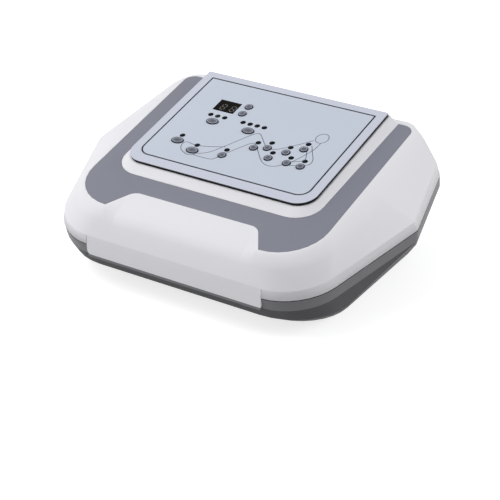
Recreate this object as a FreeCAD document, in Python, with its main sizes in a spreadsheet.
import FreeCAD, Part
import math
import os
import re

# Desktop compression therapy pump.
# Part frame: +Z up, front towards -Y, origin on the ground under the middle of the bounding box.
# Deck frame: x across, v up the sloping deck from the panel's front edge, n square to the deck.
# All sizes are millimetres, all angles degrees.
# A size whose value starts with = follows from the others.

Vector = FreeCAD.Vector
doc = FreeCAD.newDocument("therapy_pump")
sheet = doc.addObject("Spreadsheet::Sheet", "sizes")

SIZES = {
    # overall
    "overall_width": 385,
    "overall_depth": 295,
    "overall_height": 152,
    "deck_tilt": 13.2,
    "wall": 2.8,
    "fit_gap": 0.2,
    # seam between the casings, in the deck frame
    "seam_drop": 47.9,
    "seam_front": 86.8,
    "front_corner_in": 45.9,
    "front_corner_round": 60,
    "side_corner_up": 60.4,
    "side_corner_out": 0.25,
    "side_corner_round": 8,
    "rear_corner_in": 18.7,
    "rear_corner_up": 48,
    "rear_corner_round": 16,
    "back_corner_in": 75.5,
    "back_corner_round": 12,
    # top casing
    "skirt_front": 10,
    "skirt_rise": 0.016,
    "skirt_draft": 2.8,
    "rim_drop": 11.6,
    "rim_front": 60,
    "rim_in": 54,
    "rim_front_round": 46.3,
    "rim_back_in": 26.5,
    "rim_back_round": 14,
    "rim_split_gap": 0.5,
    "lip_half_width": 102.5,
    "lip_drop": 11,
    "lip_thick": 2.4,
    "lip_draft": 1,
    "lip_root": 4,
    # plinth, panel and gasket
    "plinth_in": 73.1,
    "plinth_front": 10.6,
    "plinth_round": 30,
    "plinth_slope": 9,
    "plinth_back": 1.4,
    "plinth_back_round": 2,
    "panel_in": 83.3,
    "panel_back_in": 31.4,
    "panel_round": 20.5,
    "panel_back_round": 0.8,
    "panel_thick": 1.4,
    "gasket_thick": 2.2,
    "gasket_inset": 0.4,
    "window_margin": 17,
    "window_round": 6,
    # trim band
    "band_groove": 2.6,
    "band_thick": 2,
    "band_edge": 2.2,
    "band_back_gap": 4.5,
    "tongue_half_width": 73.3,
    "tongue_foot_half_width": 90,
    "tongue_foot_reach": 12,
    "tongue_back": 32.5,
    "tongue_round": 12,
    # bottom casing
    "casing_inset": 0.8,
    "band_height": 11.5,
    "foot_height": 9.5,
    "belly_height": 12,
    "belly_out": 8,
    "belly_front_out": 20,
    "belly_back_out": 0.5,
    "floor_side_in": 43.3,
    "floor_front_in": 31.2,
    "floor_front_round": 54,
    "floor_back_in": 17.5,
    "floor_chamfer_reach": 57,
    "floor_chamfer_in": 29.2,
    "floor_back_round": 12,
    # frame around the rear plate
    "ring_low": 16,
    "ring_depth": 3,
    "ring_side": 6,
    # casing posts and screws
    "post_side_in": 80.5,
    "post_x": "=overall_width / 2 - post_side_in",
    "post_front_y": -62,
    "post_back_y": 92,
    "post_radius": 6,
    "screw_radius": 1.75,
    "screw_head_radius": 3.5,
    "screw_head_height": 2.5,
    "screw_below": 16,
    "screw_above": 12,
    "screw_slack": 0.05,
    "slot_width": 0.8,
    "slot_depth": 1.2,
    "foot_radius": 12,
    "foot_top_radius": 10,
    "foot_x": 112,
    "foot_front_y": -84,
    "foot_back_y": 96,
    # keys and lamps, measured on the panel
    "round_key_radius": 4.5,
    "oval_key_half_length": 7,
    "oval_key_half_width": 5,
    "key_rise": 0.9,
    "key_gap": 0.25,
    "key_flange": 1,
    "key_flange_thick": 1.1,
    "key_flange_gap": 0.25,
    "key_stem_radius": 1.6,
    "key_travel": 0.5,
    "key_stop_gap": 0.2,
    "lamp_radius": 2.3,
    "lamp_gap": 0.15,
    "lamp_above_panel": 0.1,
    "lamp_seat_rim": 0.5,
    "lamp_seat_height": 2,
    "lamp_above_key": 9.6,
    "lamp_pitch": 8.6,
    "lamp_row_up": 97.6,
    # control board
    "board_drop": 11,
    "board_thick": 1.6,
    "board_gap": 0.2,
    "board_side_in": 10.2,
    "board_front": 8,
    "board_back_in": 10,
    "board_screw_side_in": 5,
    "board_screw_end_in": 4,
    "board_screw_radius": 1.2,
    "board_screw_grip": 4.5,
    "board_screw_head": 2.5,
    "board_screw_head_height": 1.8,
    "boss_radius": 3.4,
    "switch_size": 6.4,
    "switch_height": 4.2,
    "switch_bore_floor": 1,
    "display_x": -54.6,
    "display_up": 116.2,
    "display_width": 25.5,
    "display_depth": 19.4,
    "display_lens": 2.8,
    "display_gap": 0.1,
    "module_margin": 0.75,
    # rear plate, inlet, switch and outlets
    "plate_half_width": 99.7,
    "plate_low": 24,
    "plate_high": 92,
    "plate_in": 21.5,
    "shell_past_plate": 4.8,
    "plate_thick": 2,
    "plate_border": 7.7,
    "plate_hole_gap": 0.2,
    "plate_screw_in": 4,
    "plate_screw_radius": 1.2,
    "plate_screw_grip": 2.8,
    "plate_screw_head": 2.7,
    "plate_screw_head_height": 1.6,
    "cross_length": 3.6,
    "cross_width": 0.7,
    "cross_depth": 0.8,
    "vent_count": 23,
    "vent_pitch": 3.6,
    "vent_width": 1.8,
    "vent_height": 6,
    "vent_up": 80.5,
    "inlet_x": -66,
    "inlet_up": 45,
    "inlet_width": 27,
    "inlet_height": 20,
    "inlet_length": 29,
    "inlet_flange_width": 48,
    "inlet_flange_height": 23.5,
    "inlet_flange_thick": 3,
    "inlet_wall": 1.5,
    "inlet_depth": 16,
    "pin_width": 2,
    "pin_height": 6.3,
    "pin_pitch": 7,
    "pin_offset": 4,
    "pin_recess": 4,
    "pin_tail": 6,
    "rocker_up": 71.8,
    "rocker_width": 12,
    "rocker_radius": 9.6,
    "rocker_swing": 10,
    "rocker_gap": 0.3,
    "rocker_rise": 5.6,
    "rocker_dip": 3.9,
    "rocker_root": 4,
    "rocker_inset": 1.5,
    "trunnion_radius": 1,
    "trunnion_length": 1.8,
    "trunnion_gap": 0.15,
    "switch_wall": 2.5,
    "switch_body_height": 24,
    "switch_body_depth": 20,
    "bezel_width": 2,
    "bezel_thick": 1.6,
    "outlet_middle": 30,
    "outlet_pitch": 18,
    "outlet_low": 45,
    "outlet_rows_apart": 21,
    "outlet_radius": 3,
    "outlet_bore": 1.8,
    "outlet_columns": 5,
    "outlet_flange_rim": 3,
    "outlet_flange_thick": 3,
    "outlet_shank_rim": 0.9,
    "outlet_shank_depth": 8,
    "outlet_shank_gap": 0.3,
    "outlet_nose": 3,
    "outlet_taper": 0.8,
    # valve manifold
    "manifold_width": 118,
    "manifold_depth": 28,
    "manifold_low": 36,
    "manifold_height": 40,
    "valve_width": 9,
    "valve_height": 24,
    "valve_end_gap": 4,
    "valve_inset": 3,
    "valve_stem_height": 4,
    # air pump
    "pump_y": 8,
    "pump_mount_height": 12,
    "pump_mount_radius": 6,
    "pump_frame_half": 34,
    "pump_plate": 3,
    "pump_foot_depth": 40,
    "bracket_thick": 2,
    "bracket_side": 27,
    "bracket_margin": 4,
    "mount_side": 18,
    "mount_end_in": 6,
    "head_radius": 28,
    "head_gap": 2,
    "pump_rise": "=head_radius + head_gap",
    "pump_frame_height": "=2 * pump_rise",
    "head_length": 24,
    "chamber_radius": 25,
    "chamber_length": 15,
    "rod_radius": 4,
    "rod_gap": 3,
    "rod_past_chamber": 4,
    "magnet_length": 36,
    "magnet_width": 28,
    "magnet_half_height": 7,
    "magnet_gap": 2,
    "coil_length": 44,
    "coil_width": 34,
    "diaphragm_gap": 0.3,
    "diaphragm_thick": 2.4,
    "port_radius": 3,
    "port_wall": 1,
    "port_length": 10,
    "hose_radius": 4.6,
    "hose_slack": 0.05,
    "hose_end_gap": 1,
    # mains board
    "mains_x": -84,
    "mains_y": 34,
    "mains_width": 100,
    "mains_depth": 92,
    "standoff_height": 8,
    "standoff_radius": 3.5,
    "standoff_in": 5,
    "core_width": 54,
    "core_depth": 24,
    "core_height": 46,
    "core_in": 4,
    "core_limb": 10,
    "core_yoke": 9,
    "winding_gap": 0.2,
    "winding_out": 9,
    "can_radius": 6,
    "can_height": 22,
    "can_pitch": 14,
    "can_in": 12,
    "fuse_x": 12,
    "fuse_y": 28,
    "fuse_up": 5,
    "fuse_radius": 2.5,
    "fuse_length": 20,
    "clip_length": 4,
    "clip_width": 8,
    "clip_height": 6,
    "clip_reach": 8,
    "terminal_length": 24,
    "terminal_depth": 9,
    "terminal_height": 9,
    "terminal_in": 6,
    "wire_radius": 1.2,
    "wire_bend": 5,
    "wire_start": 6,
    "ribbon_x": 14,
    "ribbon_up": 62,
    "ribbon_drop": 24,
    "ribbon_rise": 34,
    "ribbon_in": 6,
    "ribbon_bend": 16,
    "ribbon_core": 0.6,
    "ribbon_cores": 9,
}

# Keys on the panel: name, outline, x, distance up from the panel's front edge, own lamp above.
KEYS = [
    ("key_time_up", "round", -32.3, 123.6, False),
    ("key_time_down", "round", -32.3, 110.5, False),
    ("key_mode", "oval", -54.8, 87.2, False),
    ("key_level", "oval", -10.6, 86.2, False),
    ("key_zone_1", "oval", -70.8, 45.0, True),
    ("key_zone_2", "oval", -46.7, 35.9, True),
    ("key_zone_3", "round", -13.4, 40.3, True),
    ("key_zone_4", "round", 10.1, 63.0, True),
    ("key_zone_5", "round", 23.6, 67.9, True),
    ("key_zone_6", "round", 33.0, 53.6, True),
    ("key_zone_7", "round", 45.2, 68.2, True),
    ("key_zone_8", "round", 54.5, 53.1, True),
    ("key_zone_9", "round", 59.5, 79.6, True),
    ("key_zone_10", "round", 70.3, 53.2, True),
]
LAMP_ROWS = [("key_mode", 3), ("key_level", 4)]

row = 1
for alias, value in SIZES.items():
    sheet.set(f"A{row}", alias)
    sheet.set(f"B{row}", str(value))
    sheet.setAlias(f"B{row}", alias)
    row += 1
for key_name, outline, key_x, key_up, own_lamp in KEYS:
    for alias, number in ((f"{key_name}_x", key_x), (f"{key_name}_up", key_up)):
        sheet.set(f"A{row}", alias)
        sheet.set(f"B{row}", str(number))
        sheet.setAlias(f"B{row}", alias)
        SIZES[alias] = number
        row += 1
doc.recompute()


def size(alias):
    """The number that the sheet holds under an alias."""
    return float(sheet.get(alias))


def named(rule):
    """Turn a rule that uses aliases into an expression on the sheet."""
    return re.sub(r"[a-z][a-z0-9_]*", lambda m: f"sizes.{m[0]}" if m[0] in SIZES else m[0], str(rule))


# ---- derived places, from the driving sizes ----

TILT = math.radians(size("deck_tilt"))
SEAM_N = -size("seam_drop")
HALF_WIDTH = size("overall_width") / 2
FRONT_REACH = size("seam_front") * math.cos(TILT) - size("seam_drop") * math.sin(TILT)
DECK_Y = -size("overall_depth") / 2 + FRONT_REACH
SHELL_BACK_Y = size("overall_depth") / 2 - size("plate_in") + size("shell_past_plate")
SEAM_BACK = (SHELL_BACK_Y - DECK_Y + SEAM_N * math.sin(TILT)) / math.cos(TILT)
PANEL_DEPTH = SEAM_BACK - size("panel_back_in")
DECK_Z = size("overall_height") - PANEL_DEPTH * math.sin(TILT)
PANEL_HALF = HALF_WIDTH - size("panel_in")
BOARD_HALF = PANEL_HALF - size("board_side_in")
PLATE_Y = size("overall_depth") / 2 - size("plate_in")
FLOOR_Z = size("foot_height") + size("wall")
DECK = FreeCAD.Placement(
    Vector(0, DECK_Y, DECK_Z), FreeCAD.Rotation(Vector(1, 0, 0), size("deck_tilt"))
)
PLAIN = FreeCAD.Placement()
BACKWARDS = Vector(0, 1, 0)
SIDEWAYS = Vector(1, 0, 0)
# Cutting shapes run this far past what they cut.
THROUGH = 5


# ---- ways of making things ----

def bind(obj, **rules):
    """Bind properties to rules; a double underscore in a name stands for a dot."""
    for prop, rule in rules.items():
        obj.setExpression(prop.replace("__", "."), named(rule))
    return obj


def place(obj, x, y, z):
    return bind(obj, Placement__Base__x=x, Placement__Base__y=y, Placement__Base__z=z)


def box(name, length, width, height, x, y, z):
    """Box by its size, the middle of its base in x and y, and its lowest z."""
    obj = doc.addObject("Part::Box", name)
    bind(obj, Length=length, Width=width, Height=height)
    return place(obj, f"({x}) - ({length}) / 2", f"({y}) - ({width}) / 2", z)


def rod(name, radius, height, x, y, z, along="z"):
    """Cylinder that starts at x, y, z and runs along one axis."""
    obj = doc.addObject("Part::Cylinder", name)
    turn = {"x": (Vector(0, 1, 0), 90), "y": (Vector(1, 0, 0), -90), "z": (Vector(0, 0, 1), 0)}
    obj.Placement = FreeCAD.Placement(Vector(), FreeCAD.Rotation(*turn[along]))
    bind(obj, Radius=radius, Height=height)
    return place(obj, x, y, z)


def fuse(name, parts):
    obj = doc.addObject("Part::MultiFuse", name)
    obj.Shapes = parts
    return obj


def cut(name, base, tool):
    obj = doc.addObject("Part::Cut", name)
    obj.Base = base
    obj.Tool = tool
    return obj


def group(name, parts):
    """Separate solids that share one node."""
    obj = doc.addObject("Part::Compound", name)
    obj.Links = parts
    return obj


def solid(name, shape, placement=PLAIN):
    """A shape made in code, with its placement set after it."""
    obj = doc.addObject("Part::Feature", name)
    obj.Shape = shape
    obj.Placement = placement
    return obj


def on_deck(obj):
    """Move an object that was made in deck coordinates onto the sloping deck."""
    obj.Placement = DECK
    return obj


def inset_corners(corners, inset):
    """Corners of a convex outline after every edge moves inwards."""
    moved = []
    count = len(corners)
    for i, (x, y, radius) in enumerate(corners):
        before, after = corners[i - 1], corners[(i + 1) % count]
        ax, ay = x - before[0], y - before[1]
        bx, by = after[0] - x, after[1] - y
        a_len, b_len = math.hypot(ax, ay), math.hypot(bx, by)
        ax, ay, bx, by = ax / a_len, ay / a_len, bx / b_len, by / b_len
        bend = 1 + ax * bx + ay * by
        moved.append((
            x - inset * (ay + by) / bend,
            y + inset * (ax + bx) / bend,
            max(radius - inset, 0.8) if radius else 0,
        ))
    return moved


def rounded_wire(corners, to_point, inset=0.0):
    """Closed outline with an arc at each corner.

    A corner of radius 0 lies on a straight side: it gets a short straight edge instead of an arc,
    so that outlines with the same number of corners can be lofted edge to edge.
    """
    corners = inset_corners(corners, inset)
    count = len(corners)
    stops = []
    for i, (x, y, radius) in enumerate(corners):
        before, after = corners[i - 1], corners[(i + 1) % count]
        ax, ay = x - before[0], y - before[1]
        bx, by = after[0] - x, after[1] - y
        a_len, b_len = math.hypot(ax, ay), math.hypot(bx, by)
        ax, ay, bx, by = ax / a_len, ay / a_len, bx / b_len, by / b_len
        turn = math.atan2(ax * by - ay * bx, ax * bx + ay * by)
        reach = radius * math.tan(turn / 2) if radius else 1.0
        start = (x - ax * reach, y - ay * reach)
        end = (x + bx * reach, y + by * reach)
        middle = None
        if radius:
            bisector = math.hypot(bx - ax, by - ay)
            sag = radius * (1 / math.cos(turn / 2) - 1)
            middle = (x + (bx - ax) / bisector * sag, y + (by - ay) / bisector * sag)
        stops.append((start, middle, end))
    edges = []
    for i, (start, middle, end) in enumerate(stops):
        if middle:
            edges.append(Part.Arc(*(to_point(*p) for p in (start, middle, end))).toShape())
        else:
            edges.append(Part.LineSegment(to_point(*start), to_point(*end)).toShape())
        following = stops[(i + 1) % count][0]
        edges.append(Part.LineSegment(to_point(*end), to_point(*following)).toShape())
    return Part.Wire(edges)


def at_n(n):
    """Points of an outline on a level of the deck frame, given in the part frame."""
    return lambda x, v: DECK.multVec(Vector(x, v, n))


def at_z(z):
    return lambda x, y: Vector(x, y, z)


def at_crease(x, v):
    """Points of the crease above the skirt, which grows slowly towards the back."""
    skirt = size("skirt_front") + (v + size("seam_front")) * size("skirt_rise")
    return DECK.multVec(Vector(x, v, SEAM_N + skirt))


def both_sides(right):
    """Whole outline, anticlockwise, from the corners of its right half, front to back."""
    return right + [(-x, y, radius) for x, y, radius in reversed(right)]


def loft(wires):
    return Part.makeLoft(wires, True, True)


def prism(corners, low, high, place_at=at_z, inset=0.0):
    return loft([rounded_wire(corners, place_at(low), inset), rounded_wire(corners, place_at(high), inset)])


def tube_along(points, bends, radius, bore=0.0):
    """Tube on a path of straight runs joined by tangent arcs."""
    edges = []
    at = points[0]
    for i in range(1, len(points) - 1):
        corner = points[i]
        back = (points[i - 1] - corner).normalize()
        ahead = (points[i + 1] - corner).normalize()
        half = back.getAngle(ahead) / 2
        reach = bends[i - 1] / math.tan(half)
        bisector = (back + ahead).normalize()
        middle = corner + bisector * (bends[i - 1] / math.sin(half) - bends[i - 1])
        start, end = corner + back * reach, corner + ahead * reach
        edges.append(Part.LineSegment(at, start).toShape())
        edges.append(Part.Arc(start, middle, end).toShape())
        at = end
    edges.append(Part.LineSegment(at, points[-1]).toShape())
    path = Part.Wire(edges)
    heading = points[1] - points[0]

    def swept(r):
        ring = Part.Wire(Part.makeCircle(r, points[0], heading))
        return path.makePipeShell([ring], True, False)

    return swept(radius).cut(swept(bore)) if bore else swept(radius)


# ---- outlines of the casings ----

SEAM = both_sides([
    (HALF_WIDTH - size("front_corner_in"), -size("seam_front"), size("front_corner_round")),
    (HALF_WIDTH + size("side_corner_out"), size("side_corner_up"), size("side_corner_round")),
    (HALF_WIDTH - size("rear_corner_in"), SEAM_BACK - size("rear_corner_up"), size("rear_corner_round")),
    (HALF_WIDTH - size("back_corner_in"), SEAM_BACK, size("back_corner_round")),
])
RIM_HALF = HALF_WIDTH - size("rim_in")
RIM_BACK = SEAM_BACK - size("rim_back_in")
# The rim's round back corner is split where it runs parallel to the seam's diagonal corner, so that
# the faces between them all lean outwards.
DIAGONAL = math.atan2(size("back_corner_in") - size("rear_corner_in"), size("rear_corner_up"))
RIM_ROUND = size("rim_back_round")
RIM_SPLIT_UP = RIM_BACK - RIM_ROUND + RIM_ROUND * math.tan(DIAGONAL / 2)
RIM_SPLIT_OUT = RIM_HALF - RIM_ROUND + RIM_ROUND * math.tan(math.pi / 4 - DIAGONAL / 2)
RIM = both_sides([
    (RIM_HALF, -size("rim_front"), size("rim_front_round")),
    (RIM_HALF, size("side_corner_up"), 0),
    (RIM_HALF, RIM_SPLIT_UP, RIM_ROUND - size("rim_split_gap")),
    (RIM_SPLIT_OUT, RIM_BACK, RIM_ROUND - size("rim_split_gap")),
])
FLOOR_FRONT = -size("overall_depth") / 2 + size("floor_front_in")
FLOOR_BACK = size("overall_depth") / 2 - size("floor_back_in")
FLOOR_SIDE = HALF_WIDTH - size("floor_side_in")
FLOOR_CHAMFER = FLOOR_BACK - size("floor_chamfer_reach")
FLOOR_CORNER = FLOOR_SIDE - size("floor_chamfer_in")
FLOOR = both_sides([
    (FLOOR_SIDE, FLOOR_FRONT, size("floor_front_round")),
    (FLOOR_SIDE, (FLOOR_FRONT + FLOOR_CHAMFER) / 2, 0),
    (FLOOR_SIDE, FLOOR_CHAMFER, size("rear_corner_round")),
    (FLOOR_CORNER, FLOOR_BACK, size("floor_back_round")),
])
BELLY = both_sides([
    (
        FLOOR_SIDE + size("belly_out"),
        FLOOR_FRONT - size("belly_front_out"),
        size("floor_front_round") + size("belly_out"),
    ),
    (FLOOR_SIDE + size("belly_out"), (FLOOR_FRONT + FLOOR_CHAMFER) / 2, 0),
    (FLOOR_SIDE + size("belly_out"), FLOOR_CHAMFER, size("rear_corner_round")),
    (FLOOR_CORNER + size("belly_out") / 2, FLOOR_BACK + size("belly_back_out"), size("floor_back_round")),
])
PLINTH_HALF = HALF_WIDTH - size("plinth_in")
PLINTH_TOP = -size("panel_thick") - size("gasket_thick")


def plinth_outline(shrink):
    """Plinth outline; its front and sides move in by shrink and its back stays put."""
    back = PANEL_DEPTH + size("plinth_back")
    half = PLINTH_HALF - shrink
    front = -size("plinth_front") + shrink
    return both_sides([(half, front, size("plinth_round") - shrink), (half, back, size("plinth_back_round"))])


PANEL = both_sides([
    (PANEL_HALF, 0, size("panel_round")),
    (PANEL_HALF, PANEL_DEPTH, size("panel_back_round")),
])
WINDOW_HALF = PANEL_HALF - size("window_margin")
WINDOW = both_sides([
    (WINDOW_HALF, size("window_margin"), size("window_round")),
    (WINDOW_HALF, PANEL_DEPTH - size("window_margin"), size("window_round")),
])


# ---- casings ----

def casing_posts(low, high, radius):
    """Four upright screw posts between two heights, each a function of the post's y."""
    shapes = []
    for y in (size("post_front_y"), size("post_back_y")):
        for x in (-size("post_x"), size("post_x")):
            shapes.append(Part.makeCylinder(radius, high(y) - low(y), Vector(x, y, low(y))))
    return shapes


def seam_z(y):
    """Height of the seam plane at a place along the part."""
    return DECK_Z + (y - DECK_Y) * math.tan(TILT) + SEAM_N / math.cos(TILT)


def top_casing():
    wall = size("wall")
    outer = loft([
        rounded_wire(SEAM, at_n(SEAM_N)),
        rounded_wire(SEAM, at_crease, size("skirt_draft")),
        rounded_wire(RIM, at_n(-size("rim_drop"))),
    ])
    plinth = loft([
        rounded_wire(plinth_outline(0), at_n(-size("rim_drop") - 1)),
        rounded_wire(plinth_outline(0), at_n(-size("rim_drop"))),
        rounded_wire(plinth_outline(size("plinth_slope")), at_n(PLINTH_TOP)),
    ])
    ceiling = -size("rim_drop") - size("band_groove") - wall
    inner = loft([
        rounded_wire(SEAM, at_n(SEAM_N - 1), wall),
        rounded_wire(SEAM, at_crease, wall + size("skirt_draft")),
        rounded_wire(RIM, at_n(ceiling), 0.5),
    ])
    inner_plinth = loft([
        rounded_wire(plinth_outline(wall), at_n(ceiling - 1)),
        rounded_wire(plinth_outline(wall), at_n(-size("rim_drop"))),
        rounded_wire(plinth_outline(size("plinth_slope") + 0.7 * wall), at_n(PLINTH_TOP - wall)),
    ])
    inner_plinth = inner_plinth.common(prism(plinth_outline(0), ceiling - 2, PLINTH_TOP, at_n, wall))
    whole = outer.fuse(plinth)
    posts = [
        post.common(outer)
        for post in casing_posts(seam_z, lambda y: seam_z(y) + 60, size("post_radius"))
    ]
    bosses = board_bosses(PLINTH_TOP - wall - 0.01)
    shell = whole.cut(inner.fuse(inner_plinth)).fuse(posts + bosses + [lip()])
    holes = casing_posts(
        lambda y: seam_z(y) - 5, lambda y: seam_z(y) + size("screw_above") + 1, size("screw_radius")
    )
    window = prism(WINDOW, PLINTH_TOP - 2 * wall, PLINTH_TOP + 5, at_n)
    return shell.cut(holes + board_screw_holes() + [window, band_groove()]).removeSplitter()


def lip():
    """Front lip, which hangs over the middle of the bottom casing's front."""
    front = -size("seam_front")
    low = SEAM_N - size("lip_drop")
    inside = front + size("lip_thick") - size("lip_draft")
    rise = size("lip_root")
    profile = [
        (front + size("skirt_draft") * rise / size("skirt_front"), SEAM_N + rise),
        (front, SEAM_N),
        (front - size("lip_draft"), low),
        (inside, low),
        (inside, SEAM_N + rise),
    ]
    left = -size("lip_half_width")
    points = [DECK.multVec(Vector(left, v, n)) for v, n in profile]
    face = Part.Face(Part.makePolygon(points + points[:1]))
    return face.extrude(Vector(2 * size("lip_half_width"), 0, 0))


def band_outline(grow):
    """Corners of the trim band's U, less the plinth and the tongue, grown by a clearance."""
    inset = size("band_edge") - grow
    half = RIM_HALF - inset
    back = RIM_BACK - size("band_back_gap") + grow
    return both_sides([
        (half, -size("rim_front") + inset, size("rim_front_round") - inset),
        (half, back, size("rim_back_round") - 2),
    ])


def tongue_blank(grow, low, high):
    """The tongue that interrupts the band at the front, wider at its foot."""
    foot = -size("rim_front") - size("tongue_foot_reach")
    widening = size("tongue_foot_half_width") - size("tongue_half_width")
    spread = widening / (size("rim_front") - size("tongue_back"))
    reach = (-size("tongue_back") - foot) * spread
    half = size("tongue_half_width")
    round_to = size("tongue_round")
    corners = [
        (half + reach + grow, foot, 1),
        (half + grow, -size("tongue_back") + grow, round_to),
        (-half - grow, -size("tongue_back") + grow, round_to),
        (-half - reach - grow, foot, 1),
    ]
    return prism(corners, low, high, at_n)


def band_shape(grow, low, high):
    """The U of the trim band between two levels."""
    blank = prism(band_outline(grow), low, high, at_n)
    plinth = prism(plinth_outline(grow - 0.6), low - 1, high + 1, at_n)
    return blank.cut([plinth, tongue_blank(-grow, low - 1, high + 1)])


def band_groove():
    floor = -size("rim_drop") - size("band_groove")
    return band_shape(size("fit_gap"), floor, -size("rim_drop") + 1)


def trim_band():
    floor = -size("rim_drop") - size("band_groove")
    return band_shape(0, floor, floor + size("band_thick"))


def bottom_casing():
    wall = size("wall")
    inset = size("casing_inset")
    band_low = SEAM_N - size("band_height")
    outer = loft([
        rounded_wire(SEAM, at_n(SEAM_N), inset),
        rounded_wire(SEAM, at_n(band_low), inset),
        rounded_wire(BELLY, at_z(size("foot_height") + size("belly_height"))),
        rounded_wire(FLOOR, at_z(size("foot_height"))),
    ])
    inner = loft([
        rounded_wire(SEAM, at_n(SEAM_N + 1), inset + wall),
        rounded_wire(SEAM, at_n(band_low), inset + wall),
        rounded_wire(BELLY, at_z(size("foot_height") + size("belly_height")), wall),
        rounded_wire(FLOOR, at_z(FLOOR_Z), wall),
    ])
    high = size("plate_high") + size("plate_border")
    ring_y = PLATE_Y - size("ring_depth")
    half = size("plate_half_width") + size("fit_gap")
    side = half + size("ring_side")
    past = size("plate_in") + SHELL_BACK_Y - PLATE_Y
    ring_from = Vector(-side, ring_y, size("ring_low"))
    ring = Part.makeBox(2 * side, past, high - size("ring_low"), ring_from).common(outer)
    low = size("plate_low")
    tall = size("plate_high") - low
    gap = size("fit_gap")
    border = size("plate_border")
    pocket = Part.makeBox(2 * half, past, tall + 2 * gap, Vector(-half, PLATE_Y, low - gap))
    opening = Part.makeBox(
        2 * (half - border),
        past + THROUGH,
        tall - 2 * border,
        Vector(border - half, ring_y - THROUGH, low + border),
    )
    posts = casing_posts(lambda y: FLOOR_Z - 0.5, seam_z, size("post_radius"))
    notch = Part.makeBox(
        2 * (size("lip_half_width") + gap),
        20,
        size("lip_drop") + gap + 2,
        Vector(
            -size("lip_half_width") - gap,
            -size("seam_front") - 20 + size("lip_thick") - size("lip_draft") + gap,
            SEAM_N - size("lip_drop") - gap,
        ),
    )
    notch.Placement = DECK
    screw_holes = casing_posts(lambda y: 0, lambda y: seam_z(y) + 1, size("screw_radius") + gap)
    head_holes = casing_posts(
        lambda y: 0, lambda y: seam_z(y) - size("screw_below"), size("screw_head_radius") + gap
    )
    shell = outer.cut(inner).fuse([ring] + posts)
    openings = [pocket, opening, notch] + screw_holes + head_holes + plate_screw_holes()
    return shell.cut(openings).removeSplitter()


def casing_screws():
    shapes = []
    for y in (size("post_front_y"), size("post_back_y")):
        for x in (-size("post_x"), size("post_x")):
            seat = seam_z(y) - size("screw_below")
            shank = Part.makeCylinder(
                size("screw_radius") - size("screw_slack"),
                size("screw_below") + size("screw_above"),
                Vector(x, y, seat),
            )
            head = Part.makeCylinder(
                size("screw_head_radius"),
                size("screw_head_height"),
                Vector(x, y, seat - size("screw_head_height")),
            )
            slot = Part.makeBox(
                2 * size("screw_head_radius"),
                size("slot_width"),
                size("slot_depth"),
                Vector(
                    x - size("screw_head_radius"),
                    y - size("slot_width") / 2,
                    seat - size("screw_head_height"),
                ),
            )
            shapes.append(shank.fuse(head).cut(slot))
    return Part.makeCompound(shapes)


BOARD_TOP = -size("board_drop")
BOARD_BACK = PANEL_DEPTH - size("board_back_in")


def board_points():
    """Screw places of the control board, in the window's border."""
    x = BOARD_HALF - size("board_screw_side_in")
    front = size("board_front") + size("board_screw_end_in")
    back = BOARD_BACK - size("board_screw_end_in")
    return [(sx * x, v) for sx in (-1, 1) for v in (front, (front + back) / 2, back)]


def board_bosses(top):
    shapes = []
    for x, v in board_points():
        boss = Part.makeCylinder(size("boss_radius"), top - BOARD_TOP + 0.6, Vector(x, v, BOARD_TOP))
        boss.Placement = DECK.multiply(boss.Placement)
        shapes.append(boss)
    return shapes


def board_screw_holes():
    shapes = []
    for x, v in board_points():
        hole = Part.makeCylinder(
            size("board_screw_radius") + size("screw_slack"),
            size("board_screw_grip") + 1,
            Vector(x, v, BOARD_TOP - 0.5),
        )
        hole.Placement = DECK.multiply(hole.Placement)
        shapes.append(hole)
    return shapes


PLATE_SCREWS = [
    (side * (size("plate_half_width") - size("plate_screw_in")), z)
    for side in (-1, 0, 1)
    for z in (size("plate_low") + size("plate_screw_in"), size("plate_high") - size("plate_screw_in"))
]


def plate_screw_holes():
    return [
        Part.makeCylinder(
            size("plate_screw_radius") + size("screw_slack"),
            size("ring_depth") + 0.2,
            Vector(x, PLATE_Y - size("ring_depth") - 0.1, z),
            BACKWARDS,
        )
        for x, z in PLATE_SCREWS
    ]


nodes = [
    solid("top_casing", top_casing()),
    solid("bottom_casing", bottom_casing()),
    solid("trim_band", trim_band()),
    solid("casing_screws", casing_screws()),
]


# ---- rubber feet, one turned profile each ----

def rubber_feet():
    feet = []
    for i, (side, y) in enumerate((s, y) for s in (-1, 1) for y in ("foot_front_y", "foot_back_y")):
        foot = doc.addObject("Part::Cone", f"foot_{i + 1}")
        bind(foot, Radius1="foot_top_radius", Radius2="foot_radius", Height="foot_height")
        place(foot, f"{side} * foot_x", y, "0")
        feet.append(foot)
    return group("rubber_feet", feet)


nodes.append(rubber_feet())


# ---- control panel: plate, gasket, keys, lamps and display ----

def key_outline(outline, name, x, up, grow, low, high):
    """Round or oval cylinder of a key, or of its hole, in deck coordinates."""
    if outline == "round":
        return rod(name, f"round_key_radius + {grow}", f"({high}) - ({low})", x, up, low)
    ellipse = doc.addObject("Part::Ellipse", f"{name}_outline")
    bind(
        ellipse,
        MajorRadius=f"oval_key_half_length + {grow}",
        MinorRadius=f"oval_key_half_width + {grow}",
    )
    place(ellipse, x, up, low)
    pad = doc.addObject("Part::Extrusion", name)
    pad.Base = ellipse
    pad.DirMode = "Custom"
    pad.Dir = Vector(0, 0, 1)
    pad.Solid = True
    return bind(pad, LengthFwd=f"({high}) - ({low})")


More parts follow.
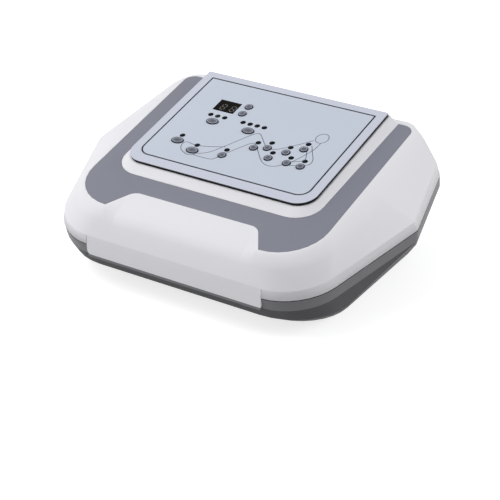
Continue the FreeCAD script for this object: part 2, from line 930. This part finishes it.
def therapy_key(name, outline):
    """Key cap with a flange under the panel and a stem into its switch."""
    x, up = f"{name}_x", f"{name}_up"
    under = "-panel_thick - key_flange_gap"
    stem_low = "-board_drop + switch_bore_floor + key_travel + key_stop_gap"
    cap = key_outline(outline, f"{name}_cap", x, up, "0", under, "key_rise")
    flange = key_outline(
        outline, f"{name}_flange", x, up, "key_flange", f"{under} - key_flange_thick", under
    )
    stem = rod(f"{name}_stem", "key_stem_radius", f"({under}) - ({stem_low})", x, up, stem_low)
    return on_deck(fuse(name, [cap, flange, stem]))


def lamp_places():
    """Rule pairs for the lamps: rows above two keys, then one above each zone key."""
    places = []
    for name, count in LAMP_ROWS:
        for i in range(count):
            places.append((f"{name}_x + {i - (count - 1) / 2} * lamp_pitch", "lamp_row_up"))
    for name, _, _, _, own_lamp in KEYS:
        if own_lamp:
            places.append((f"{name}_x", f"{name}_up + lamp_above_key"))
    return places


def control_panel():
    blank = solid("panel_blank", prism(PANEL, -size("panel_thick"), 0))
    holes = [
        key_outline(
            outline, f"{name}_hole", f"{name}_x", f"{name}_up", "key_gap", f"-{THROUGH}", f"{THROUGH}"
        )
        for name, outline, _, _, _ in KEYS
    ]
    for i, (x, up) in enumerate(lamp_places()):
        holes.append(rod(
            f"lamp_hole_{i + 1}", "lamp_radius + lamp_gap", f"{2 * THROUGH}", x, up, f"-{THROUGH}"
        ))
    holes.append(box(
        "display_hole", "display_width", "display_depth", f"{2 * THROUGH}",
        "display_x", "display_up", f"-{THROUGH}",
    ))
    return on_deck(cut("control_panel", blank, fuse("panel_holes", holes)))


def panel_gasket():
    low = PLINTH_TOP
    high = -size("panel_thick")
    ring = prism(PANEL, low, high, at_z, size("gasket_inset")).cut(prism(WINDOW, low - 1, high + 1))
    return solid("panel_gasket", ring, DECK)


def display_window():
    lens = box(
        "lens", "display_width - 2 * display_gap", "display_depth - 2 * display_gap", "display_lens",
        "display_x", "display_up", "-display_lens",
    )
    return on_deck(group("display_window", [lens]))


def display_module():
    body = box(
        "module_body", "display_width - 2 * module_margin", "display_depth - 2 * module_margin",
        "board_drop - display_lens",
        "display_x", "display_up", "-board_drop",
    )
    return on_deck(group("display_module", [body]))


def status_lamps():
    lamps = []
    for i, (x, up) in enumerate(lamp_places()):
        base = "-board_drop + lamp_seat_height"
        tall = "board_drop - lamp_seat_height + lamp_above_panel"
        lens = rod(f"lamp_lens_{i + 1}", "lamp_radius", tall, x, up, base)
        seat = rod(
            f"lamp_seat_{i + 1}", "lamp_radius + lamp_seat_rim", "lamp_seat_height", x, up, "-board_drop"
        )
        lamps.append(fuse(f"lamp_{i + 1}", [lens, seat]))
    return on_deck(group("status_lamps", lamps))


def control_board():
    board = box(
        "board_blank", f"{2 * BOARD_HALF}", f"{BOARD_BACK} - board_front", "board_thick",
        "0", f"({BOARD_BACK} + board_front) / 2", "-board_drop - board_thick",
    )
    holes = [
        rod(
            f"board_hole_{i + 1}", "board_screw_radius + board_gap", f"{2 * THROUGH}",
            str(x), str(v), f"-board_drop - {THROUGH}",
        )
        for i, (x, v) in enumerate(board_points())
    ]
    return on_deck(cut("control_board", board, fuse("board_holes", holes)))


def key_switches():
    switches = []
    for name, _, _, _, _ in KEYS:
        body = box(
            f"{name}_switch_body", "switch_size", "switch_size", "switch_height",
            f"{name}_x", f"{name}_up", "-board_drop",
        )
        bore = rod(
            f"{name}_switch_bore", "key_stem_radius + key_gap", "switch_height",
            f"{name}_x", f"{name}_up", "-board_drop + switch_bore_floor",
        )
        switches.append(cut(f"{name}_switch", body, bore))
    return on_deck(group("key_switches", switches))


def board_screws():
    screws = []
    for i, (x, v) in enumerate(board_points()):
        under = "-board_drop - board_thick"
        shank = rod(
            f"board_shank_{i + 1}", "board_screw_radius", "board_thick + board_screw_grip",
            str(x), str(v), under,
        )
        head = rod(
            f"board_head_{i + 1}", "board_screw_head", "board_screw_head_height", str(x), str(v),
            f"{under} - board_screw_head_height",
        )
        screws.append(fuse(f"board_screw_{i + 1}", [shank, head]))
    return on_deck(group("board_screws", screws))


nodes += [
    control_panel(),
    panel_gasket(),
    display_window(),
    display_module(),
    status_lamps(),
    control_board(),
    key_switches(),
    board_screws(),
]
nodes += [therapy_key(name, outline) for name, outline, _, _, _ in KEYS]


# ---- rear plate with inlet, switch and outlets ----

PLATE_BACK = PLATE_Y + size("plate_thick")
ROCKER_Y = PLATE_BACK - size("rocker_inset")
ROCKER_SPACE = size("rocker_width") + 2 * size("rocker_gap")
SWITCH_WIDTH = ROCKER_SPACE + 2 * size("switch_wall")
MANIFOLD_FRONT = PLATE_Y - size("manifold_depth")


def outlet_places():
    columns = int(size("outlet_columns"))
    return [
        (
            size("outlet_middle") + (i - (columns - 1) / 2) * size("outlet_pitch"),
            size("outlet_low") + level * size("outlet_rows_apart"),
        )
        for level in (1, 0)
        for i in range(columns)
    ]


def rear_plate():
    thick = size("plate_thick")
    half = size("plate_half_width")
    low = size("plate_low")
    plate = Part.makeBox(2 * half, thick, size("plate_high") - low, Vector(-half, PLATE_Y, low))

    gap = size("plate_hole_gap")

    def hole(x, z, radius):
        return Part.makeCylinder(radius + gap, thick + 2, Vector(x, PLATE_Y - 1, z), BACKWARDS)

    def slot(x, z, width, height, clearance=gap):
        wide, tall = width + 2 * clearance, height + 2 * clearance
        return Part.makeBox(wide, thick + 2, tall, Vector(x - wide / 2, PLATE_Y - 1, z - tall / 2))

    holes = [hole(x, z, size("plate_screw_radius")) for x, z in PLATE_SCREWS]
    holes += [hole(x, z, size("outlet_radius") + size("outlet_shank_rim")) for x, z in outlet_places()]
    holes.append(slot(size("inlet_x"), size("inlet_up"), size("inlet_width"), size("inlet_height")))
    holes.append(slot(size("inlet_x"), size("rocker_up"), SWITCH_WIDTH, size("switch_body_height")))
    vents = int(size("vent_count"))
    for i in range(vents):
        x = size("outlet_middle") + (i - (vents - 1) / 2) * size("vent_pitch")
        holes.append(slot(x, size("vent_up"), size("vent_width"), size("vent_height"), 0))
    return solid("rear_plate", plate.cut(holes))


def plate_screws():
    shapes = []
    for x, z in PLATE_SCREWS:
        grip = size("plate_screw_grip")
        shank = Part.makeCylinder(
            size("plate_screw_radius"), size("plate_thick") + grip, Vector(x, PLATE_Y - grip, z), BACKWARDS
        )
        tall = size("plate_screw_head_height")
        head = Part.makeCylinder(size("plate_screw_head"), tall, Vector(x, PLATE_BACK, z), BACKWARDS)
        floor = PLATE_BACK + tall - size("cross_depth")
        arms = [
            Part.makeBox(across, THROUGH, up, Vector(x - across / 2, floor, z - up / 2))
            for across, up in (
                (size("cross_length"), size("cross_width")),
                (size("cross_width"), size("cross_length")),
            )
        ]
        shapes.append(shank.fuse(head).cut(arms))
    return solid("plate_screws", Part.makeCompound(shapes))


INLET_FACE = f"{PLATE_BACK} + inlet_flange_thick"


def power_inlet():
    body = box(
        "inlet_body", "inlet_width", "inlet_length", "inlet_height",
        "inlet_x", f"{INLET_FACE} - inlet_length / 2", "inlet_up - inlet_height / 2",
    )
    flange = box(
        "inlet_flange", "inlet_flange_width", "inlet_flange_thick", "inlet_flange_height",
        "inlet_x", f"{INLET_FACE} - inlet_flange_thick / 2", "inlet_up - inlet_flange_height / 2",
    )
    cavity = box(
        "inlet_cavity", "inlet_width - 2 * inlet_wall", "inlet_depth + 1",
        "inlet_height - 2 * inlet_wall", "inlet_x",
        f"{INLET_FACE} + 0.5 - inlet_depth / 2", "inlet_up - inlet_height / 2 + inlet_wall",
    )
    shell = fuse("inlet_shell", [body, flange])
    return cut("power_inlet", shell, fuse("inlet_cuts", [cavity] + pins("slot")))


def pins(name):
    """Three blades of the inlet: two low at the sides and the earth blade high in the middle."""
    blades = []
    for i, rise in ((-1, "-pin_offset / 2"), (0, "pin_offset / 2"), (1, "-pin_offset / 2")):
        blades.append(box(
            f"{name}_{i + 2}", "pin_width", "inlet_length + pin_tail - pin_recess", "pin_height",
            f"inlet_x + {i} * pin_pitch",
            f"{INLET_FACE} - (inlet_length + pin_tail + pin_recess) / 2",
            f"inlet_up + {rise} - pin_height / 2",
        ))
    return blades


def switch_frame():
    x, z = size("inlet_x"), size("rocker_up")
    tall, deep = size("switch_body_height"), size("switch_body_depth")
    rim = size("bezel_width")
    body = Part.makeBox(
        SWITCH_WIDTH, deep, tall, Vector(x - SWITCH_WIDTH / 2, PLATE_BACK - deep, z - tall / 2)
    )
    bezel = Part.makeBox(
        SWITCH_WIDTH + 2 * rim,
        size("bezel_thick"),
        tall + 2 * rim,
        Vector(x - SWITCH_WIDTH / 2 - rim, PLATE_BACK, z - tall / 2 - rim),
    )
    left = x - ROCKER_SPACE / 2
    room = size("rocker_radius") + size("rocker_gap")
    cavity = Part.makeCylinder(room, ROCKER_SPACE, Vector(left, ROCKER_Y, z), SIDEWAYS)
    mouth = Part.makeBox(ROCKER_SPACE, deep, 2 * room, Vector(left, ROCKER_Y, z - room))
    seat = size("trunnion_length") + size("trunnion_gap") + 0.05
    bore = Part.makeCylinder(
        size("trunnion_radius") + size("trunnion_gap"),
        ROCKER_SPACE + 2 * seat,
        Vector(left - seat, ROCKER_Y, z),
        SIDEWAYS,
    )
    return solid("switch_frame", body.fuse(bezel).cut([cavity, mouth, bore]))


def switch_rocker():
    """Rocker on two trunnions, turned to its off position."""
    radius = size("rocker_radius")
    width = size("rocker_width")
    x, z = size("inlet_x"), size("rocker_up")
    drum = Part.makeCylinder(radius, width, Vector(x - width / 2, 0, 0), SIDEWAYS)
    rise, dip, root = size("rocker_rise"), size("rocker_dip"), size("rocker_root")
    reach = math.sqrt(radius ** 2 - rise ** 2)
    profile = [(-root, -radius), (rise, -reach), (dip, 0), (rise, reach), (-root, radius)]
    points = [Vector(x - width / 2, y, h) for y, h in profile]
    face = Part.Face(Part.makePolygon(points + points[:1]))
    block = drum.common(face.extrude(Vector(width, 0, 0)))
    past = size("trunnion_length")
    pin = Part.makeCylinder(
        size("trunnion_radius"), width + 2 * past, Vector(x - width / 2 - past, 0, 0), SIDEWAYS
    )
    swing = FreeCAD.Rotation(SIDEWAYS, size("rocker_swing"))
    return solid("switch_rocker", block.fuse(pin), FreeCAD.Placement(Vector(0, ROCKER_Y, z), swing))


def air_outlets():
    """Plain hose nozzles with a tapered nose, each seated through the plate in the manifold."""
    radius = size("outlet_radius")
    shoulder = size("overall_depth") / 2 - size("outlet_nose")
    deep = size("outlet_shank_depth")
    shapes = []
    for x, z in outlet_places():
        root = Vector(x, PLATE_BACK, z)
        flange = Part.makeCylinder(
            radius + size("outlet_flange_rim"), size("outlet_flange_thick"), root, BACKWARDS
        )
        stem = Part.makeCylinder(radius, shoulder - PLATE_BACK, root, BACKWARDS)
        start = Vector(x, PLATE_Y - deep, z)
        shank = Part.makeCylinder(
            radius + size("outlet_shank_rim"), size("plate_thick") + deep, start, BACKWARDS
        )
        nose = Part.makeCone(
            radius, radius - size("outlet_taper"), size("outlet_nose"), Vector(x, shoulder, z), BACKWARDS
        )
        whole = size("overall_depth") / 2 - start.y
        bore = Part.makeCylinder(
            size("outlet_bore"), whole + 2 * THROUGH, start - BACKWARDS * THROUGH, BACKWARDS
        )
        shapes.append(flange.fuse([stem, shank, nose]).cut(bore))
    return solid("air_outlets", Part.makeCompound(shapes))


def valve_manifold():
    width = size("manifold_width")
    middle = size("outlet_middle")
    low, tall = size("manifold_low"), size("manifold_height")
    block = Part.makeBox(
        width, size("manifold_depth"), tall, Vector(middle - width / 2, MANIFOLD_FRONT, low)
    )
    ports = []
    seat = size("outlet_shank_depth") + size("outlet_shank_gap")
    bores = [
        Part.makeCylinder(
            size("outlet_radius") + size("outlet_shank_rim") + 0.1,
            seat + 1,
            Vector(x, PLATE_Y - seat, z),
            BACKWARDS,
        )
        for x, z in outlet_places()
    ]
    for x in head_ports():
        reach = size("port_length")
        start = Vector(x, MANIFOLD_FRONT - reach, pump_z())
        ports.append(Part.makeCylinder(size("port_radius"), reach + 1, start, BACKWARDS))
        inside = size("port_radius") - size("port_wall")
        bores.append(Part.makeCylinder(inside, reach + size("port_radius") * 4, start, BACKWARDS))
    return solid("valve_manifold", block.fuse(ports).cut(bores).removeSplitter())


def solenoid_valves():
    valves = []
    top = "manifold_low + manifold_height"
    count = 2 * int(size("outlet_columns"))
    for i in range(count):
        x = f"outlet_middle + {i - (count - 1) / 2} * (manifold_width - 2 * valve_end_gap) / {count}"
        y = f"{PLATE_Y} - manifold_depth / 2"
        neck = "valve_height - valve_stem_height"
        coil = box(f"valve_coil_{i + 1}", "valve_width", "manifold_depth - 2 * valve_inset", neck, x, y, top)
        stem = rod(
            f"valve_stem_{i + 1}", "valve_width / 3", "valve_stem_height", x, y, f"{top} + {neck}"
        )
        valves.append(fuse(f"valve_{i + 1}", [coil, stem]))
    return group("solenoid_valves", valves)


# ---- air pump ----

def pump_z():
    return FLOOR_Z + size("pump_mount_height") + size("bracket_thick") + size("pump_rise")


def head_ports():
    reach = size("pump_frame_half") + size("pump_plate") + size("head_length") / 2
    return [size("outlet_middle") - reach, size("outlet_middle") + reach]


PUMP_BASE = f"{FLOOR_Z} + pump_mount_height"
PUMP_X = "outlet_middle"


def pump_bracket():
    return group("pump_bracket", [box(
        "bracket_sheet", "2 * (pump_frame_half + bracket_side)", "2 * (head_radius + bracket_margin)",
        "bracket_thick", PUMP_X, "pump_y", PUMP_BASE,
    )])


def pump_mounts():
    mounts = []
    for i, (sx, sy) in enumerate((sx, sy) for sx in (-1, 1) for sy in (-1, 1)):
        mounts.append(rod(
            f"mount_{i + 1}", "pump_mount_radius", "pump_mount_height",
            f"{PUMP_X} + {sx} * (pump_frame_half + mount_side)",
            f"pump_y + {sy} * (head_radius - mount_end_in)", f"{FLOOR_Z}",
        ))
    return group("pump_mounts", mounts)


def pump_frame():
    """Box frame: two end plates, a foot and a roof."""
    base = f"{PUMP_BASE} + bracket_thick"
    wide = "2 * pump_frame_half"
    plates = [
        box(f"end_plate_{i}", "pump_plate", "2 * head_radius", "pump_frame_height",
            f"{PUMP_X} + {i} * (pump_frame_half + pump_plate / 2)", "pump_y", base)
        for i in (-1, 1)
    ]
    foot = box("frame_foot", wide, "pump_foot_depth", "pump_plate", PUMP_X, "pump_y", base)
    roof = box(
        "frame_roof", wide, "pump_foot_depth", "pump_plate", PUMP_X, "pump_y",
        f"{base} + pump_frame_height - pump_plate",
    )
    hole = rod(
        "rod_hole", "rod_radius + rod_gap", f"2 * (pump_frame_half + pump_plate + {THROUGH})",
        f"{PUMP_X} - pump_frame_half - pump_plate - {THROUGH}", "pump_y", f"{pump_z()}", "x",
    )
    return cut("pump_frame", fuse("frame_blank", [foot, roof] + plates), hole)


def pump_coils():
    """Two wound coil blocks, above and below the armature's magnet."""
    gap = "(magnet_half_height + magnet_gap)"
    depth = f"(pump_frame_height / 2 - pump_plate - {gap})"
    low = box(
        "coil_low", "coil_length", "coil_width", depth, PUMP_X, "pump_y",
        f"{PUMP_BASE} + bracket_thick + pump_plate",
    )
    high = box("coil_high", "coil_length", "coil_width", depth, PUMP_X, "pump_y", f"{pump_z()} + {gap}")
    return group("pump_coils", [low, high])


def pump_heads():
    heads = []
    for side, x in zip((-1, 1), head_ports()):
        start = x - size("head_length") / 2
        centre_y, centre_z = size("pump_y"), pump_z()
        drum = Part.makeCylinder(
            size("head_radius"), size("head_length"), Vector(start, centre_y, centre_z), SIDEWAYS
        )
        mouth = start if side > 0 else start + size("head_length") - size("chamber_length")
        chamber = Part.makeCylinder(
            size("chamber_radius"), size("chamber_length"), Vector(mouth, centre_y, centre_z), SIDEWAYS
        )
        port_from = Vector(x, centre_y + size("chamber_radius") - 2, centre_z)
        reach = size("head_radius") - size("chamber_radius") + 2 + size("port_length")
        port = Part.makeCylinder(size("port_radius"), reach, port_from, BACKWARDS)
        inside = size("port_radius") - size("port_wall")
        bore = Part.makeCylinder(inside, reach + 2, port_from - BACKWARDS * 2, BACKWARDS)
        heads.append(drum.fuse(port).cut([chamber, bore]))
    return solid("pump_heads", Part.makeCompound(heads))


def pump_armature():
    """Magnet block on the rod that drives both diaphragms."""
    reach = "(pump_frame_half + pump_plate + chamber_length / 2 + rod_past_chamber)"
    shaft = rod(
        "armature_rod", "rod_radius", f"2 * {reach}", f"{PUMP_X} - {reach}", "pump_y", f"{pump_z()}", "x"
    )
    magnet = box(
        "armature_magnet", "magnet_length", "magnet_width", "2 * magnet_half_height", PUMP_X, "pump_y",
        f"{pump_z()} - magnet_half_height",
    )
    return fuse("pump_armature", [shaft, magnet])


def pump_diaphragms():
    discs = []
    thick = size("diaphragm_thick")
    reach = size("pump_frame_half") + size("pump_plate") + size("chamber_length") / 2
    for side in (-1, 1):
        start = Vector(size("outlet_middle") + side * reach - thick / 2, size("pump_y"), pump_z())
        disc = Part.makeCylinder(size("chamber_radius") - size("diaphragm_gap"), thick, start, SIDEWAYS)
        eye = Part.makeCylinder(size("rod_radius"), thick + 2, start - SIDEWAYS, SIDEWAYS)
        discs.append(disc.cut(eye))
    return solid("pump_diaphragms", Part.makeCompound(discs))


def air_hoses():
    start = size("pump_y") + size("head_radius") + size("hose_end_gap")
    length = MANIFOLD_FRONT - size("hose_end_gap") - start
    hoses = []
    for x in head_ports():
        root = Vector(x, start, pump_z())
        outer = Part.makeCylinder(size("hose_radius"), length, root, BACKWARDS)
        bore = Part.makeCylinder(size("port_radius") + size("hose_slack"), length, root, BACKWARDS)
        hoses.append(outer.cut(bore))
    return solid("air_hoses", Part.makeCompound(hoses))


nodes += [
    rear_plate(),
    plate_screws(),
    power_inlet(),
    group("inlet_pins", pins("pin")),
    switch_frame(),
    switch_rocker(),
    air_outlets(),
    valve_manifold(),
    solenoid_valves(),
    pump_bracket(),
    pump_mounts(),
    pump_frame(),
    pump_coils(),
    pump_heads(),
    pump_armature(),
    pump_diaphragms(),
    air_hoses(),
]


# ---- mains board ----

MAINS_Z = f"{FLOOR_Z} + standoff_height"
MAINS_TOP = FLOOR_Z + size("standoff_height") + size("board_thick")


def board_standoffs():
    posts = []
    for i, (sx, sy) in enumerate((sx, sy) for sx in (-1, 1) for sy in (-1, 1)):
        posts.append(rod(
            f"standoff_{i + 1}", "standoff_radius", "standoff_height",
            f"mains_x + {sx} * (mains_width / 2 - standoff_in)",
            f"mains_y + {sy} * (mains_depth / 2 - standoff_in)", f"{FLOOR_Z}",
        ))
    return group("board_standoffs", posts)


def transformer():
    x, y = "mains_x - mains_width / 2 + core_width / 2 + core_in", "mains_y"
    top = f"{MAINS_TOP}"
    block = box("core_block", "core_width", "core_depth", "core_height", x, y, top)
    window = box(
        "core_window", "core_width - 2 * core_limb", "core_depth + 2", "core_height - 2 * core_yoke",
        x, y, f"{top} + core_yoke",
    )
    winding = box(
        "winding_block", "core_width - 2 * (core_limb + winding_gap)", "core_depth + 2 * winding_out",
        "core_height - 2 * (core_yoke + winding_gap)", x, y, f"{top} + core_yoke + winding_gap",
    )
    return [cut("transformer_core", block, window), group("transformer_winding", [winding])]


def capacitors():
    cans = []
    for i in range(4):
        cans.append(rod(
            f"can_{i + 1}", "can_radius", "can_height", "mains_x + mains_width / 2 - can_in",
            f"mains_y - mains_depth / 2 + can_in + {i} * can_pitch", f"{MAINS_TOP}",
        ))
    return group("capacitors", cans)


def fuse_parts():
    x, y, z = "mains_x + fuse_x", "mains_y + fuse_y", f"{MAINS_TOP} + fuse_up"
    glass = rod("fuse_glass", "fuse_radius", "fuse_length", f"{x} - fuse_length / 2", y, z, "x")
    clips = []
    for i in (-1, 1):
        block = box(
            f"clip_block_{i + 1}", "clip_length", "clip_width", "clip_height",
            f"{x} + {i} * clip_reach", y, f"{MAINS_TOP}",
        )
        clips.append(cut(f"clip_{i + 1}", block, glass))
    return [group("mains_fuse", [glass]), group("fuse_clips", clips)]


TERMINAL_Y = size("mains_y") + size("mains_depth") / 2 - size("terminal_in")
TERMINAL_TOP = MAINS_TOP + size("terminal_height")


def terminal_block():
    return group("terminal_block", [box(
        "terminals", "terminal_length", "terminal_depth", "terminal_height",
        "inlet_x", f"{TERMINAL_Y}", f"{MAINS_TOP}",
    )])


def mains_wires():
    """One wire from each blade of the inlet to the terminal block."""
    shapes = []
    start = PLATE_BACK + size("inlet_flange_thick") - size("inlet_length") - size("wire_start")
    for i, rise in ((-1, -0.5), (0, 0.5), (1, -0.5)):
        x = size("inlet_x") + i * size("pin_pitch")
        z = size("inlet_up") + rise * size("pin_offset")
        points = [Vector(x, start, z), Vector(x, TERMINAL_Y, z), Vector(x, TERMINAL_Y, TERMINAL_TOP)]
        shapes.append(tube_along(points, [size("wire_bend")], size("wire_radius")))
    return solid("mains_wires", Part.makeCompound(shapes))


def ribbon_cable():
    """Flat cable from the control board down to the mains board, held at both ends."""
    x = size("mains_x") + size("ribbon_x")
    foot_y = size("mains_y") - size("mains_depth") / 2 + size("ribbon_in")
    under = -size("board_drop") - size("board_thick")
    start = DECK.multVec(Vector(x, size("ribbon_up"), under))
    below = DECK.multVec(Vector(x, size("ribbon_up"), under - size("ribbon_drop")))
    above_foot = Vector(x, foot_y, MAINS_TOP + size("ribbon_rise"))
    points = [start, below, above_foot, Vector(x, foot_y, MAINS_TOP)]
    core = tube_along(points, [size("ribbon_bend")] * 2, size("ribbon_core"))
    count = int(size("ribbon_cores"))
    strip = [
        core.translated(SIDEWAYS * 2 * size("ribbon_core") * (i - (count - 1) / 2)) for i in range(count)
    ]
    return solid("ribbon_cable", strip[0].fuse(strip[1:]))


nodes += [board_standoffs(), *transformer(), capacitors(), *fuse_parts(), terminal_block()]
nodes.append(group("mains_board", [box(
    "mains_sheet", "mains_width", "mains_depth", "board_thick", "mains_x", "mains_y", MAINS_Z
)]))
nodes += [mains_wires(), ribbon_cable()]


# ---- checks, then one file for each sub-part ----

doc.recompute()
for obj in doc.Objects:
    if "Invalid" in obj.State or "Error" in obj.State:
        raise RuntimeError(f"{obj.Label} did not recompute: {obj.State}")
for node in nodes:
    if node.Shape.isNull() or not node.Shape.isValid() or not node.Shape.Solids:
        raise RuntimeError(f"{node.Label} has no valid solid")
    if node.Label != node.Name:
        raise RuntimeError(f"{node.Name} shares its label with another object")

os.makedirs("parts", exist_ok=True)
for node in nodes:
    node.Shape.exportStep(f"parts/{node.Label}.step")
print(len(nodes), "sub-parts written")
